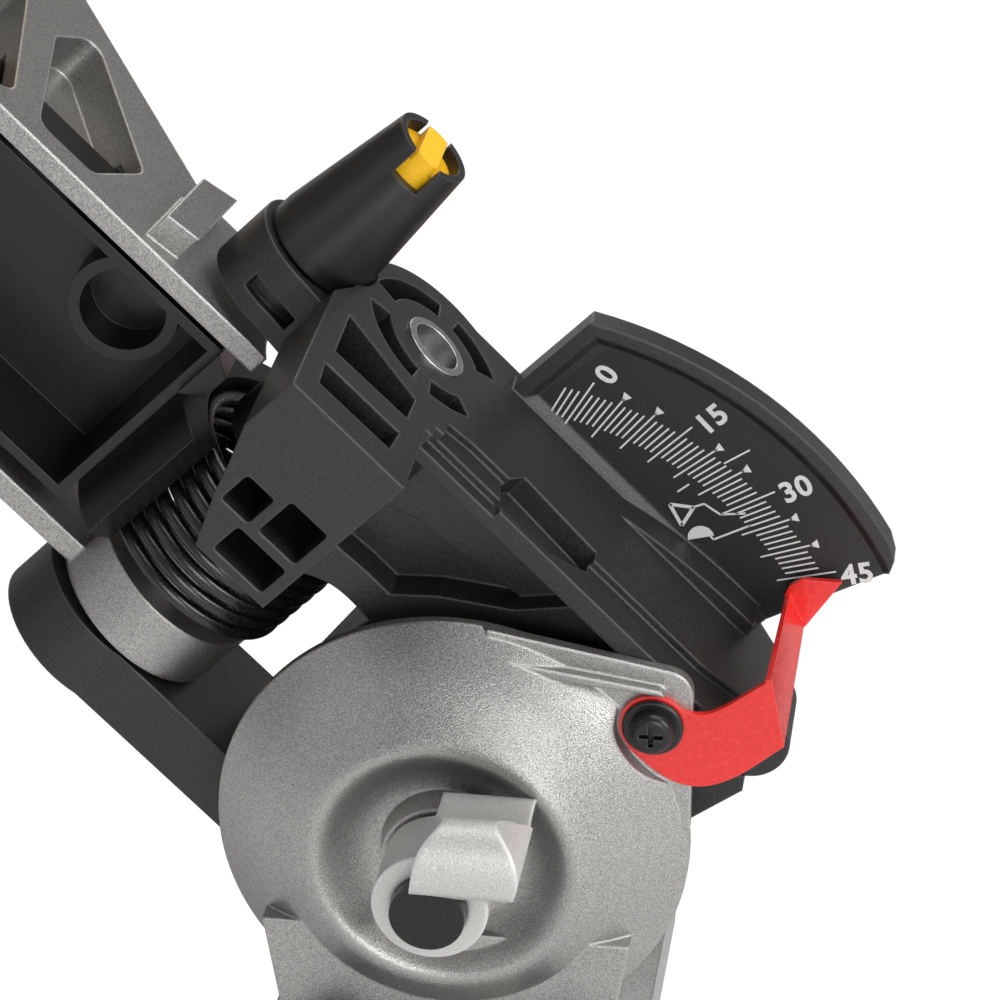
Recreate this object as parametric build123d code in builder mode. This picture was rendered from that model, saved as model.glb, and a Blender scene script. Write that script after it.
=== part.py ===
from build123d import *
import os
from math import asin, atan, atan2, cos, degrees, hypot, pi, radians, sin, sqrt, tan

os.makedirs("parts", exist_ok=True)

# A non-sliding compound mitre saw with a 305 mm blade, resting with its head tilted to the
# operator's right and its arm raised. +Z is up, the operator stands at -Y, and the origin is
# where the turntable's axis meets the surface that the saw stands on.

# ---------------------------------------------------------------- driving dimensions
BLADE_R = 152.4
BLADE_T = 2.6
ARBOR_R = 12.7
TABLE_H = 92.0          # table top above the bench
FOOT_H = 8.0
TABLE_R = 142.0         # turntable radius
HUB_Y = 212.0           # scale floor of the bevel pivot, behind the turntable's axis
BEVEL_REST = 45.0       # tilt of the head at rest
LIFT_REST = 36.0        # lift of the arm at rest, above the cutting position
PIVOT_Y = 15.0          # chop shaft, from the scale floor
PIVOT_H = 79.5          # chop shaft, from the bevel axis
REACH = 295.0           # blade centre in front of the chop shaft, arm down
DEPTH = 65.0            # blade centre above the chop shaft, arm down

# bevel pivot
FLANGE_R = 50.0
DOME_R = 54.0
DOME_Y = 48.0
SCALE_R = 108.5
SIDE_A = 67.0           # outer face of the trunnion, to the operator's left
BUSH_R = 8.15
SHAFT_R = 6.2
RUN = 0.06              # radial running clearance

# drive
MOTOR_Y = 35.0          # motor axis from the blade axis, arm frame
MOTOR_H = 45.0
MOTOR_R = 48.0
GEAR_TEETH = 48
PINION_TEETH = 16
MODULE = hypot(MOTOR_Y, MOTOR_H) * 2 / (GEAR_TEETH + PINION_TEETH)

# guards
GUARD_R = 168.0
LOWER_R = 161.0

# ---------------------------------------------------------------- frames
# In a frame "left" runs to the operator's left, y to the rear and h up.
HUB = Location((0, HUB_Y, TABLE_H))
HEAD = HUB * Location((0, 0, 0), (0, BEVEL_REST, 0))
ARM = HEAD * Location((0, PIVOT_Y, PIVOT_H), (-LIFT_REST, 0, 0))
BLADE = ARM * Location((0, -REACH, DEPTH))
MOTOR = BLADE * Location((0, MOTOR_Y, MOTOR_H))
BASE = Location((0, 0, 0))


def side(frame, left):
    """Plane square to the left direction: x is y, y is h, and its normal points right."""
    return Plane(frame * Location((-left, 0, 0)) * Plane.YZ.location)


def rear(frame, y):
    """Plane facing the rear: x is left, y is h."""
    facing = Plane((0, 0, 0), x_dir=(-1, 0, 0), z_dir=(0, 1, 0))
    return Plane(frame * Location((0, y, 0)) * facing.location)


def level(frame, h):
    """Plane facing up: x is right, y is y."""
    return Plane(frame * Location((0, 0, h)))


def ring_sector(inner, outer, start, sweep, centre=(0, 0)):
    """Closed outline between two radii, for use inside BuildLine."""
    first = CenterArc(centre, outer, start, sweep)
    second = CenterArc(centre, inner, start, sweep)
    Line(first @ 0, second @ 0)
    Line(first @ 1, second @ 1)


def polar(radius, angle, centre=(0, 0)):
    return (centre[0] + radius * cos(radians(angle)), centre[1] + radius * sin(radians(angle)))


def save(part, label):
    part.label = label
    export_step(part, f"parts/{label}.step")


def round_face(plane, radius, bore=0.0):
    """Round sketch, with an optional bore, to be extruded by the part that asks for it."""
    with BuildSketch(plane) as face:
        Circle(radius)
        if bore:
            Circle(bore, mode=Mode.SUBTRACT)
    return face.sketch


# ================================================================ base
WING_X = 265.0
WING_FRONT = -48.0
WING_REAR = 38.0
RING_R = 152.0
RING_TOP = 58.0
APRON_TOP = 16.0
LUG_X = 277.0
LUG_Y = 25.0
BENCH_HOLE_R = 4.5
POST_TOP = 70.0

with BuildPart() as base:
    with BuildSketch(Plane.XY.offset(FOOT_H)):
        Circle(RING_R)
        Circle(RING_R - 8, mode=Mode.SUBTRACT)
    extrude(amount=RING_TOP - FOOT_H)
    # the ring is low behind, where the rear beam of the turntable passes over it
    with BuildSketch(Plane.XY.offset(APRON_TOP)):
        with Locations((0, 146)):
            Rectangle(400, 200)
    extrude(amount=100, mode=Mode.SUBTRACT)
    # front flange that carries the mitre scale
    with BuildSketch(Plane.XY.offset(RING_TOP - 8)):
        with BuildLine():
            ring_sector(143, 168, 270 - 66, 132)
        make_face()
    extrude(amount=8)
    # wings, hollow from below
    for way in (-1, 1):
        with BuildSketch(Plane.XY.offset(FOOT_H)):
            with Locations((way * (WING_X + 130) / 2, (WING_FRONT + WING_REAR) / 2)):
                Rectangle(WING_X - 130, WING_REAR - WING_FRONT)
        extrude(amount=TABLE_H - FOOT_H)
    with BuildSketch(Plane.XY.offset(RING_TOP)):
        Circle(TABLE_R + 1.5)
    extrude(amount=60, mode=Mode.SUBTRACT)
    with BuildSketch(Plane.XY.offset(FOOT_H)):
        Circle(RING_R - 8)
    extrude(amount=60, mode=Mode.SUBTRACT)
    fillet(base.faces().sort_by(Axis.Z)[-2:].edges().filter_by(Axis.Y), 6)
    for way in (-1, 1):
        with BuildSketch(Plane.XY.offset(FOOT_H)):
            with Locations((way * (WING_X + RING_R + 4) / 2, (WING_FRONT + WING_REAR) / 2)):
                Rectangle(WING_X - RING_R - 16, WING_REAR - WING_FRONT - 12)
            with Locations((way * 210, (WING_FRONT + WING_REAR) / 2)):
                Rectangle(5, 120, mode=Mode.SUBTRACT)
        extrude(amount=TABLE_H - FOOT_H - 7, mode=Mode.SUBTRACT)
    # centre post, spokes and rear apron
    with BuildSketch(Plane.XY.offset(FOOT_H)):
        Circle(34)
    extrude(amount=POST_TOP - FOOT_H)
    with BuildSketch(Plane.XY.offset(FOOT_H)):
        for angle in (180, 235, 270, 305, 0):
            with Locations(Location(polar(88, angle) + (0,), (0, 0, angle))):
                Rectangle(122, 7)
    extrude(amount=40)
    with BuildSketch(Plane.XY.offset(FOOT_H)):
        with BuildLine():
            ring_sector(30, 148, 20, 140)
        make_face()
        with Locations((-95, 128), (95, 128)):
            Circle(20)
        with PolarLocations(98, 3, start_angle=55, angular_range=70):
            SlotOverall(50, 26, mode=Mode.SUBTRACT)
    extrude(amount=APRON_TOP - FOOT_H - 2)
    # bench lugs at the outer ends of the wings
    with BuildSketch(Plane.XY):
        with GridLocations(2 * LUG_X, 2 * LUG_Y, 2, 2):
            RectangleRounded(32, 26, 6)
            Circle(BENCH_HOLE_R, mode=Mode.SUBTRACT)
        for way in (-1, 1):
            with Locations((way * (WING_X - 60 - 3), -5)):
                Rectangle(120, 80, mode=Mode.SUBTRACT)
    extrude(amount=17)
    # bore for the turntable's pivot bolt
    with BuildSketch(Plane.XY):
        Circle(10 + RUN)
    extrude(amount=200, mode=Mode.SUBTRACT)
save(base.part, "base")

with BuildPart() as feet:
    foot_places = [(x, y) for x in (-240, 240) for y in (-38, 28)] + [(-95, 128), (95, 128)]
    with BuildSketch(Plane.XY):
        with Locations(*foot_places):
            Circle(11)
    extrude(amount=FOOT_H)
    chamfer(feet.edges().group_by(Axis.Z)[0], 1)
save(feet.part, "feet")

SCALE_TOP = RING_TOP + 1.5
with BuildPart() as mitre_scale:
    with BuildSketch(Plane.XY.offset(RING_TOP)):
        with BuildLine():
            ring_sector(146, 167, 270 - 58, 116)
        make_face()
        for angle in (-50, -45, -31.6, -22.5, -15, 0, 15, 22.5, 31.6, 45, 50):
            with Locations(polar(168, 270 + angle)):
                Circle(3.2, mode=Mode.SUBTRACT)
    extrude(amount=SCALE_TOP - RING_TOP)
save(mitre_scale.part, "mitre_scale")

# ================================================================ fences
FENCE_T = 12.0
LOW_FENCE = 28.0
FENCE_GAP_LEFT = 38.0
FENCE_GAP_RIGHT = 76.0
LIP_T = 5.0


def low_fence(way, inner):
    """Fixed fence on one wing, from its inner end to the wing's outer end."""
    length = WING_X - 5 - inner
    middle = way * (inner + length / 2)
    with BuildPart() as fence:
        with BuildSketch(Plane.XY.offset(TABLE_H + 0.5)):
            with Locations((middle, FENCE_T / 2)):
                Rectangle(length, FENCE_T)
        extrude(amount=LOW_FENCE)
        # foot on the wing and three gussets behind
        with BuildSketch(Plane.XY.offset(TABLE_H)):
            with Locations((way * 203, FENCE_T + 11)):
                Rectangle(108, 22)
            with Locations((way * 170, 24), (way * 236, 24)):
                Circle(3.3, mode=Mode.SUBTRACT)
        extrude(amount=7)
        for x in (152, 203, 254):
            with BuildSketch(side(BASE, -way * x + 2.5)):
                Polygon((FENCE_T, TABLE_H + 6), (32, TABLE_H + 6), (FENCE_T, TABLE_H + 26), align=None)
            extrude(amount=5)
        # groove in the top for the sliding fence's tongue
        with BuildSketch(Plane.XY.offset(TABLE_H + LOW_FENCE - 4.5)):
            with Locations((middle, FENCE_T / 2)):
                Rectangle(length + 2, LIP_T)
        extrude(amount=10, mode=Mode.SUBTRACT)
    return fence.part


def high_fence(way, inner, outer, height):
    """Upper fence with a tongue in the lower fence's groove and two windows."""
    low = TABLE_H + LOW_FENCE + 0.8
    top = TABLE_H + height
    middle = way * (inner + outer) / 2
    with BuildPart() as fence:
        with BuildSketch(Plane.XZ.offset(-FENCE_T + 1)):
            with Locations((middle, (low + top) / 2)):
                RectangleRounded(outer - inner, top - low, 7)
            with Locations((middle, (low + top) / 2)):
                with GridLocations((outer - inner) / 2 - 8, 1, 2, 1):
                    RectangleRounded((outer - inner) / 2 - 26, top - low - 17, 4, mode=Mode.SUBTRACT)
        extrude(amount=FENCE_T - 2)
        with BuildSketch(Plane.XZ.offset(-FENCE_T / 2 - LIP_T / 2 + 0.3)):
            with Locations((middle, low)):
                Rectangle(outer - inner - 16, 7)
        extrude(amount=LIP_T - 0.6)
    return fence.part


save(low_fence(-1, FENCE_GAP_LEFT), "fence_left")
save(low_fence(1, FENCE_GAP_RIGHT), "fence_right")
save(high_fence(-1, 62, 222, 78), "fence_slide_left")
save(high_fence(1, 140, 252, 60), "fence_slide_right")

for way, label in ((-1, "fence_knob_left"), (1, "fence_knob_right")):
    with BuildPart() as knob:
        with BuildSketch(Plane.XZ.offset(-FENCE_T - 0.4)):
            with Locations((way * 190, TABLE_H + 19)):
                Circle(4)
        extrude(amount=-16)
        with BuildSketch(Plane.XZ.offset(-FENCE_T - 16)):
            with Locations((way * 190, TABLE_H + 19)):
                Circle(9)
                with PolarLocations(9, 6):
                    Circle(2.4)
        extrude(amount=-14)
    save(knob.part, label)

# ================================================================ turntable
SLOT_LEFT = 14.0        # kerf slot, to the operator's left and right of the blade
SLOT_RIGHT = 10.0
PLATE_T = 3.0
ARM_END = -238.0
BEAM_LOW = 20.0
BEAM_TOP = 34.0
BEAM_W = 88.0
BEAM_END = HUB_Y + 76
WALL_Y = 118.0
KNOB_Z = 54.0

with BuildPart() as turntable:
    with BuildSketch(Plane.XY.offset(62)):
        Circle(TABLE_R)
    extrude(amount=TABLE_H - 62)
    with BuildSketch(Plane.XY.offset(62)):
        with Locations((0, -178)):
            RectangleRounded(80, 2 * (-ARM_END - 178), 12)
        with Locations((0, -120)):
            Rectangle(80, 80)
    extrude(amount=TABLE_H - 62)
    fillet(turntable.faces().sort_by(Axis.Z)[-1].edges(), 2)
    # hollow underneath
    with BuildSketch(Plane.XY.offset(62)):
        Circle(TABLE_R - 7)
        Circle(40, mode=Mode.SUBTRACT)
        with PolarLocations(90, 8, start_angle=22.5):
            Rectangle(110, 6, mode=Mode.SUBTRACT)
        with Locations((0, -187)):
            Rectangle(66, 86)
    extrude(amount=TABLE_H - 62 - 12, mode=Mode.SUBTRACT)
    with BuildSketch(Plane.XY.offset(61)):
        Circle(40)
    extrude(amount=POST_TOP + 0.5 - 61, mode=Mode.SUBTRACT)
    # rear wall and beam below the bevel pivot
    with BuildSketch(Plane.XY.offset(BEAM_LOW)):
        with Locations((0, WALL_Y)):
            Rectangle(BEAM_W, 34)
        with Locations((0, WALL_Y)):
            Rectangle(BEAM_W - 14, 20, mode=Mode.SUBTRACT)
    extrude(amount=62 - BEAM_LOW + 6)
    with BuildSketch(Plane.XY.offset(BEAM_LOW)):
        with Locations((0, (WALL_Y + BEAM_END) / 2)):
            Rectangle(BEAM_W, BEAM_END - WALL_Y)
    extrude(amount=BEAM_TOP - BEAM_LOW)
    fillet(turntable.faces().sort_by(Axis.Y)[-1].edges().filter_by(Axis.Z), 14)
    with BuildSketch(Plane.XY.offset(BEAM_LOW)):
        with Locations((0, (WALL_Y + BEAM_END) / 2 - 10)):
            with GridLocations(1, 62, 1, 2):
                RectangleRounded(BEAM_W - 26, 50, 6)
    extrude(amount=BEAM_TOP - BEAM_LOW - 4, mode=Mode.SUBTRACT)
    # lug for the lock rod at the front
    with BuildSketch(Plane.XY.offset(44)):
        with Locations((0, ARM_END + 8)):
            RectangleRounded(44, 16, 4)
    extrude(amount=40)
    with BuildSketch(Plane.XZ.offset(-ARM_END - 40)):
        with Locations((0, KNOB_Z)):
            Circle(4 + RUN)
    extrude(amount=60, mode=Mode.SUBTRACT)
    # kerf slot with a recess for its plates
    with BuildSketch(Plane.XY.offset(TABLE_H - 12)):
        with Locations(((SLOT_RIGHT - SLOT_LEFT) / 2, -90)):
            SlotOverall(136, SLOT_LEFT + SLOT_RIGHT, rotation=90)
    extrude(amount=20, mode=Mode.SUBTRACT)
    with BuildSketch(Plane.XY.offset(TABLE_H - PLATE_T - 0.1)):
        with Locations((-2, -45)):
            RectangleRounded(60.4, 228.4, 5.2)
    extrude(amount=20, mode=Mode.SUBTRACT)
    with BuildSketch(Plane.XY.offset(TABLE_H - 9)):
        with Locations(((SLOT_RIGHT - SLOT_LEFT) / 2, -45)):
            SlotOverall(214, SLOT_LEFT + SLOT_RIGHT, rotation=90)
    extrude(amount=20, mode=Mode.SUBTRACT)
    # blind hole for the pivot bolt
    with BuildSketch(Plane.XY.offset(60)):
        Circle(10)
    extrude(amount=18, mode=Mode.SUBTRACT)
    # plate screw holes
    with BuildSketch(Plane.XY.offset(TABLE_H - 11)):
        with Locations((-2, -45)):
            with GridLocations(42, 90, 2, 3):
                Circle(2.5)
    extrude(amount=20, mode=Mode.SUBTRACT)
save(turntable.part, "turntable")

for label, low, high in (("kerf_plate_left", -32, -10), ("kerf_plate_right", 5, 28)):
    with BuildPart() as kerf_plate:
        with BuildSketch(Plane.XY.offset(TABLE_H - PLATE_T)):
            with Locations(((low + high) / 2, -45)):
                RectangleRounded(high - low, 228, 5.6)
            with Locations((-2, -45)):
                with GridLocations(42, 90, 2, 3):
                    Circle(2.6, mode=Mode.SUBTRACT)
        extrude(amount=PLATE_T - 0.1)
    save(kerf_plate.part, label)

with BuildPart() as kerf_screws:
    with BuildSketch(Plane.XY.offset(TABLE_H - 10.5)):
        with Locations((-2, -45)):
            with GridLocations(42, 90, 2, 3):
                Circle(2.45)
    extrude(amount=10.4)
save(kerf_screws.part, "kerf_screws")

with BuildPart() as pivot_bolt:
    with BuildSketch(Plane.XY.offset(FOOT_H + 2)):
        Circle(9.9)
    extrude(amount=77.8 - FOOT_H - 2)
    with BuildSketch(Plane.XY.offset(FOOT_H - 6)):
        RegularPolygon(16, 6)
    extrude(amount=5.9)
    with BuildSketch(Plane.XY.offset(FOOT_H - 0.2)):
        Circle(9.9)
    extrude(amount=3)
save(pivot_bolt.part, "pivot_bolt")

with BuildPart() as mitre_knob:
    with BuildSketch(Plane.XZ.offset(169)):
        with Locations((0, KNOB_Z)):
            Circle(4)
    extrude(amount=-ARM_END - 168)
    with BuildSketch(Plane.XZ.offset(-ARM_END + 0.5)):
        with Locations((0, KNOB_Z)):
            Circle(13)
    extrude(amount=14)
    with BuildSketch(Plane.XZ.offset(-ARM_END + 12)):
        with Locations((0, KNOB_Z)):
            Circle(19)
            with PolarLocations(19, 9):
                Circle(3.6, mode=Mode.SUBTRACT)
    extrude(amount=42)
    fillet(mitre_knob.faces().sort_by(Axis.Y)[0].edges(), 3)
save(mitre_knob.part, "mitre_knob")

with BuildPart() as detent_lever:
    with BuildSketch(side(BASE, 30)):
        with BuildLine():
            Polyline((-213, 92.9), (-240, 92.9), (-262, 84.5), (-274, 92), (-270, 95.5), (-260, 89.5),
                     (-240, 98), (-213, 99), close=True)
        make_face()
    extrude(amount=60)
    with BuildSketch(side(BASE, 40.6)):
        with Locations((-216, 96.6)):
            Circle(3.7)
    extrude(amount=81.2)
save(detent_lever.part, "detent_lever")

# ================================================================ rear hub and bevel pointer
TAB_X = 54.0
TAB_T = 3.0
POINTER_Y = DOME_Y + 0.6 + TAB_T
HUB_BOLT_Y = HUB_Y + DOME_Y + 20
SCREW_AT = (45.4, 33.0)     # pointer screw: left, h
STRIP_T = 1.5
BEND_TOP = (71.1, 47.0)     # bend between the pointer's band and its strip: left, h
BEND_LOW = (74.4, 30.3)
TIP_Y = 2.8             # front face of the pointed end

SCREW = HUB * Location((-SCREW_AT[0], 0, SCREW_AT[1]))


def pointer_band():
    """Outline of the pointer's flat part, with a round ear under its screw."""
    with BuildSketch(rear(HUB, POINTER_Y)) as band:
        with BuildLine():
            lower = Spline((40, 27), (46.6, 21.3), (51, 19), (55.4, 18.4), (61.9, 20.4),
                           (67.4, 24.2), BEND_LOW)
            Line(lower @ 1, BEND_TOP)
            upper = Spline(BEND_TOP, (67.3, 44), (61.3, 39.3), (56, 36.8), (51.6, 37.6), (49, 39.8))
            Polyline(upper @ 1, (42, 39.6), (38.4, 33), lower @ 0)
        make_face()
        with Locations(SCREW_AT):
            Circle(7.6)
            Circle(2.6, mode=Mode.SUBTRACT)
    return band.sketch


with BuildPart() as rear_hub:
    # domed cover with an annular hollow round the clamp nut
    with BuildSketch(side(HUB, 0)):
        with BuildLine():
            Polyline((DOME_Y, 8.5), (DOME_Y, DOME_R), (DOME_Y + 2.2, DOME_R))
            Spline((DOME_Y + 2.2, DOME_R), (DOME_Y + 9, 46), (DOME_Y + 16, 35), (DOME_Y + 18, 29),
                   (DOME_Y + 14.5, 25), (DOME_Y + 10, 20), (DOME_Y + 9, 15))
            Polyline((DOME_Y + 9, 15), (DOME_Y + 16, 14), (DOME_Y + 16, 8.5), (DOME_Y, 8.5))
        make_face()
    revolve(axis=Axis((0, HUB_Y, TABLE_H), (0, 1, 0)))
    # flat tab that carries the pointer
    with BuildSketch(rear(HUB, DOME_Y + 0.6)) as tab:
        Polygon((8, 53.4), (TAB_X, 45.2), (TAB_X, 6), (20, 6), align=None)
        fillet(tab.vertices().sort_by(Axis.Y)[-2], 6)
    extrude(amount=TAB_T)
    with BuildSketch(rear(HUB, DOME_Y + 2)):
        with BuildLine():
            Polyline((9, 47.8), (47, 42.6), (48, 41.4), (9, 45), close=True)
        make_face()
    extrude(amount=4.5)
    # flat seat for the pointer
    with BuildSketch(rear(HUB, POINTER_Y)):
        with Locations(SCREW_AT):
            Circle(8.4)
        with BuildLine():
            seat = Spline((37.6, 30), (42.4, 22.6), (49, 18), (56, 17), (63, 19.4))
            Polyline(seat @ 1, (80, 30), (80, 48), (52, 41), (44, 40), seat @ 0)
        make_face()
    extrude(amount=30, mode=Mode.SUBTRACT)
    # neck down to the beam
    with BuildSketch(rear(HUB, DOME_Y)):
        with BuildLine():
            Polyline((-42, -20), (42, -20), (36, BEAM_TOP - TABLE_H), (-36, BEAM_TOP - TABLE_H), close=True)
        make_face()
    extrude(amount=14)
    with BuildSketch(Plane.XY.offset(BEAM_TOP)):
        with Locations((0, HUB_Y + DOME_Y + 13.4)):
            RectangleRounded(76, 26, 5)
    extrude(amount=9)
    with BuildSketch(rear(HUB, DOME_Y - 30)):
        Circle(8.5)
        with Locations(SCREW_AT):
            Circle(2.05)
    extrude(amount=100, mode=Mode.SUBTRACT)
    with BuildSketch(Plane.XY.offset(BEAM_TOP - 5)):
        with Locations((-26, HUB_BOLT_Y), (26, HUB_BOLT_Y)):
            Circle(3.3)
    extrude(amount=30, mode=Mode.SUBTRACT)
save(rear_hub.part, "rear_hub")

with BuildPart() as hub_bolts:
    for way in (-1, 1):
        with BuildSketch(Plane.XY.offset(BEAM_TOP + 9)):
            with Locations((way * 26, HUB_BOLT_Y)):
                RegularPolygon(5.6, 6)
        extrude(amount=5)
        with BuildSketch(Plane.XY.offset(BEAM_TOP)):
            with Locations((way * 26, HUB_BOLT_Y)):
                Circle(3.2)
        extrude(amount=10)
save(hub_bolts.part, "hub_bolts")

BOLT_HEAD_Y = 6.0
with BuildPart() as bevel_bolt:
    with BuildSketch(rear(HUB, BOLT_HEAD_Y)):
        RegularPolygon(14, 6)
    extrude(amount=13.8 - BOLT_HEAD_Y)
    with BuildSketch(rear(HUB, BOLT_HEAD_Y + 7)):
        Circle(8.4)
    extrude(amount=DOME_Y + 38 - BOLT_HEAD_Y - 7)
save(bevel_bolt.part, "bevel_bolt")

with BuildPart() as bevel_pointer:
    # round ear under the screw and the band beside it
    extrude(pointer_band(), amount=STRIP_T)
    # strip bent forward, narrowing and twisting towards the scale
    with BuildSketch(rear(HUB, POINTER_Y + STRIP_T)):
        Polygon(BEND_TOP, BEND_LOW, (BEND_LOW[0] - 1.4, BEND_LOW[1] - 0.3),
                (BEND_TOP[0] - 1.4, BEND_TOP[1] - 0.3),
                align=None)
    with BuildSketch(rear(HUB, TIP_Y + 0.4)):
        Polygon((71.4, 41.4), (75, 33.8), (74, 33.3), (70.4, 41), align=None)
    loft()
    # pointed end beside the scale
    with BuildSketch(rear(HUB, TIP_Y)):
        Polygon((70.1, 41), (71.2, 43.6), (74, 45.6), (83.2, 45.6), (75.2, 33.4), (73.9, 32.8), align=None)
    extrude(amount=STRIP_T)
save(bevel_pointer.part, "bevel_pointer")

with BuildPart() as pointer_washer:
    with BuildSketch(rear(SCREW, POINTER_Y + STRIP_T)):
        Circle(6.8)
        Circle(2.6, mode=Mode.SUBTRACT)
    extrude(amount=1.2)
    chamfer(pointer_washer.edges().filter_by(GeomType.CIRCLE).group_by(Axis.Y)[-1].sort_by(SortBy.RADIUS)[-1], 0.4)
save(pointer_washer.part, "pointer_washer")

with BuildPart() as pointer_screw:
    with BuildSketch(rear(SCREW, DOME_Y + 0.8)):
        Circle(2)
    extrude(amount=POINTER_Y + STRIP_T + 1.2 - DOME_Y)
    with BuildSketch(rear(SCREW, POINTER_Y + STRIP_T + 1.2)):
        Circle(5)
    extrude(amount=3.6)
    fillet(pointer_screw.edges().filter_by(GeomType.CIRCLE).group_by(Axis.Y)[-1], 1.9)
    with BuildSketch(rear(SCREW, POINTER_Y + STRIP_T + 3)):
        Rectangle(5.4, 1.2)
        Rectangle(1.2, 5.4)
    extrude(amount=5, mode=Mode.SUBTRACT)
save(pointer_screw.part, "pointer_screw")

with BuildPart() as bevel_lever:
    with BuildSketch(rear(HUB, DOME_Y + 17)):
        Circle(13)
        Circle(8.4 + RUN, mode=Mode.SUBTRACT)
    extrude(amount=17)
    with BuildSketch(side(HUB, 27)) as blank:
        with BuildLine():
            top = Spline((66, 20), (80, 22), (94, 30), (108, 40))
            tip = Spline(top @ 1, (118, 42), (121, 32), (114, 26))
            low = Spline(tip @ 1, (98, 15), (84, 4), (66, -4))
            Line(low @ 1, top @ 0)
        make_face()
    paddle = extrude(blank.sketch, amount=60, both=True, mode=Mode.PRIVATE)
    with BuildSketch(rear(HUB, 60)) as outline:
        with Locations((14, 34)):
            Circle(11)
        with Locations((7, 2)):
            Circle(9)
        make_hull()
        Circle(8.4 + RUN, mode=Mode.SUBTRACT)
    across = extrude(outline.sketch, amount=70, mode=Mode.PRIVATE)
    grip = across & paddle
    add(grip.solids()[0])
save(bevel_lever.part, "bevel_lever")

# ================================================================ trunnion, tilting head
CORE_R = 33.0
FLANGE_Y = 44.4
RING_OUT = 24.0
BLOCK_END = 76.5
BLOCK_TOP = 107.0
BLOCK_LOW = 74.5
BLOCK_A = 22.0
WALL_Y_END = 48.4
KEY_Y = 10.0            # lock pin, head frame
KEY_H = 112.5
PIVOT = HEAD * Location((0, PIVOT_Y, PIVOT_H))
KEY = HEAD * Location((0, KEY_Y, KEY_H))
KEY_A = 61.9            # inner end of the lock pin's knob
PLATE_TOP = 57.6
PLATE_LOW = -14.5       # lower end of the plate's arc, in degrees
PLATE_CORNER = ((99.5, -33), (102.8, -31.2))
RIM_RISE = 1.7
FLOOR_R = 103.4
FLOOR_TOP = 52.4
top_angle = degrees(asin(PLATE_TOP / SCALE_R))

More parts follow.
